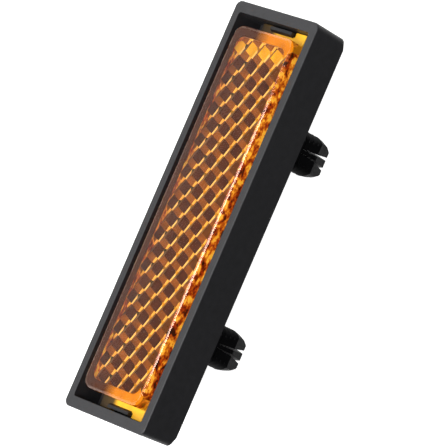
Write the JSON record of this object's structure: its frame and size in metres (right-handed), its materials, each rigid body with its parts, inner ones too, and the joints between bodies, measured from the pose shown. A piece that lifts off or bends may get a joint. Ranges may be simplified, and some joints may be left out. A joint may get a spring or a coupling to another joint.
{
  "type": "pedal reflector",
  "caption": "Bicycle pedal reflector: black tray with a raised amber prismatic insert held by latch arms, and split barbed plugs on its back that push into the pedal.",
  "frame": {"origin": "centre of the tray's rear face, on the plane the plugs stand out of", "axes": "+X along the length, +Y out of the rear face along the plugs (the reflector faces -Y), +Z across the width; resting on a long side"},
  "size_m": [0.076, 0.0244, 0.0212],
  "materials": {
    "tray_plastic": "fine textured black ABS",
    "amber_lens": "clear amber acrylic",
    "plate_plastic": "welded ABS plate",
    "plug_plastic": "smooth black nylon"
  },
  "bodies": {
    "tray": {"housing": "tray_plastic", "lens": "amber_lens", "back_plate": "plate_plastic", "plug_left": "plug_plastic", "plug_right": "plug_plastic"},
    "latch_left": {"latch_left": "tray_plastic"},
    "latch_right": {"latch_right": "tray_plastic"},
    "plug_left_leaf_a": {"plug_left_leaf_a": "plug_plastic"},
    "plug_left_leaf_b": {"plug_left_leaf_b": "plug_plastic"},
    "plug_right_leaf_a": {"plug_right_leaf_a": "plug_plastic"},
    "plug_right_leaf_b": {"plug_right_leaf_b": "plug_plastic"}
  },
  "joints": [
    {"name": "latch_left_flex", "type": "hinge", "parent": "tray", "child": "latch_left", "pos_m": [-0.03533, -0.00168, 0], "axis": [0, 0, -1], "range_deg": [0, 6], "stiffness_Nm_per_rad": 0.01},
    {"name": "plug_left_leaf_a_flex", "type": "hinge", "parent": "tray", "child": "plug_left_leaf_a", "pos_m": [-0.0206, 0.0081, 0], "axis": [0, 0, -1], "range_deg": [0, 2.8], "stiffness_Nm_per_rad": 0.02},
    {"name": "plug_left_leaf_b_flex", "type": "hinge", "parent": "tray", "child": "plug_left_leaf_b", "pos_m": [-0.016, 0.0081, 0], "axis": [0, 0, 1], "range_deg": [0, 2.8], "stiffness_Nm_per_rad": 0.02},
    {"name": "latch_right_flex", "type": "hinge", "parent": "tray", "child": "latch_right", "pos_m": [0.03533, -0.00168, 0], "axis": [0, 0, 1], "range_deg": [0, 6], "stiffness_Nm_per_rad": 0.01},
    {"name": "plug_right_leaf_a_flex", "type": "hinge", "parent": "tray", "child": "plug_right_leaf_a", "pos_m": [0.016, 0.0081, 0], "axis": [0, 0, -1], "range_deg": [0, 2.8], "stiffness_Nm_per_rad": 0.02},
    {"name": "plug_right_leaf_b_flex", "type": "hinge", "parent": "tray", "child": "plug_right_leaf_b", "pos_m": [0.0206, 0.0081, 0], "axis": [0, 0, 1], "range_deg": [0, 2.8], "stiffness_Nm_per_rad": 0.02}
  ]
}
